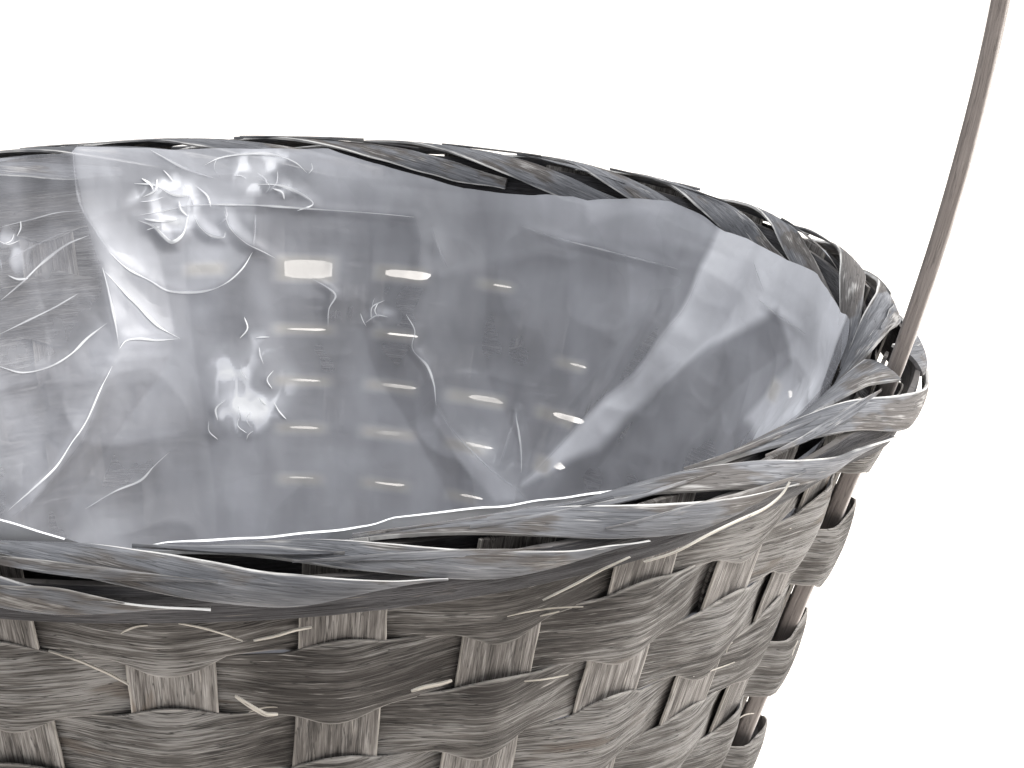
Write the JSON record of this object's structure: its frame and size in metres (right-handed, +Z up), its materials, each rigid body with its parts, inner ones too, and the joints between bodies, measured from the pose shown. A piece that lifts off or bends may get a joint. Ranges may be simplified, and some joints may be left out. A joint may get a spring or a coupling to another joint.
{
  "type": "round wicker basket",
  "caption": "Round tapered basket woven from flat wood strips, with a plaited base, twisted splint rim, tall fixed handle and a clear film liner.",
  "frame": {"origin": "under the middle of the plaited base, on the surface that the basket stands on", "axes": "+Z up; the two legs of the handle are on +X and -X"},
  "size_m": [0.2764, 0.248, 0.3665],
  "materials": {
    "stake_chip": "thin grey wash over split wood, streaked along the grain",
    "weaver_chip": "thin grey wash over fibrous split wood, darker in the gaps",
    "splint_chip": "grey wash with bare brown patches and pale cut edges",
    "hoop_cane": "dark grey wash",
    "handle_bamboo": "thin grey wash over planed bamboo",
    "clear_film": "thin clear crinkled film"
  },
  "bodies": {
    "root": {"base_strip_x1": "stake_chip", "base_strip_x2": "stake_chip", "base_strip_x3": "stake_chip", "base_strip_x4": "stake_chip", "base_strip_x5": "stake_chip", "base_strip_x6": "stake_chip", "base_strip_x7": "stake_chip", "base_strip_y1": "stake_chip", "base_strip_y2": "stake_chip", "base_strip_y3": "stake_chip", "base_strip_y4": "stake_chip", "base_strip_y5": "stake_chip", "base_strip_y6": "stake_chip", "base_strip_y7": "stake_chip", "base_strip_y8": "stake_chip", "weaver_row_01": "weaver_chip", "weaver_row_02": "weaver_chip", "weaver_row_03": "weaver_chip", "weaver_row_04": "weaver_chip", "weaver_row_05": "weaver_chip", "weaver_row_06": "weaver_chip", "weaver_row_07": "weaver_chip", "weaver_row_08": "weaver_chip", "weaver_row_09": "weaver_chip", "weaver_row_10": "weaver_chip", "outer_hoop": "hoop_cane", "inner_hoop": "hoop_cane", "handle": "handle_bamboo", "rim_splint_01_inner_end": "splint_chip", "rim_splint_01_outer_end": "splint_chip", "rim_splint_02": "splint_chip", "rim_splint_03": "splint_chip", "rim_splint_04": "splint_chip", "rim_splint_05": "splint_chip", "rim_splint_06": "splint_chip", "rim_splint_07": "splint_chip", "rim_splint_08": "splint_chip", "rim_splint_09": "splint_chip", "rim_splint_10": "splint_chip", "rim_splint_11": "splint_chip", "rim_splint_12": "splint_chip", "rim_splint_13_inner_end": "splint_chip", "rim_splint_13_outer_end": "splint_chip", "rim_splint_14": "splint_chip", "rim_splint_15": "splint_chip", "rim_splint_16": "splint_chip", "rim_splint_17": "splint_chip", "rim_splint_18": "splint_chip", "rim_splint_19": "splint_chip", "rim_splint_20": "splint_chip", "rim_splint_21": "splint_chip", "rim_splint_22": "splint_chip", "rim_splint_23": "splint_chip", "rim_splint_24": "splint_chip", "film_liner": "clear_film"}
  },
  "joints": []
}
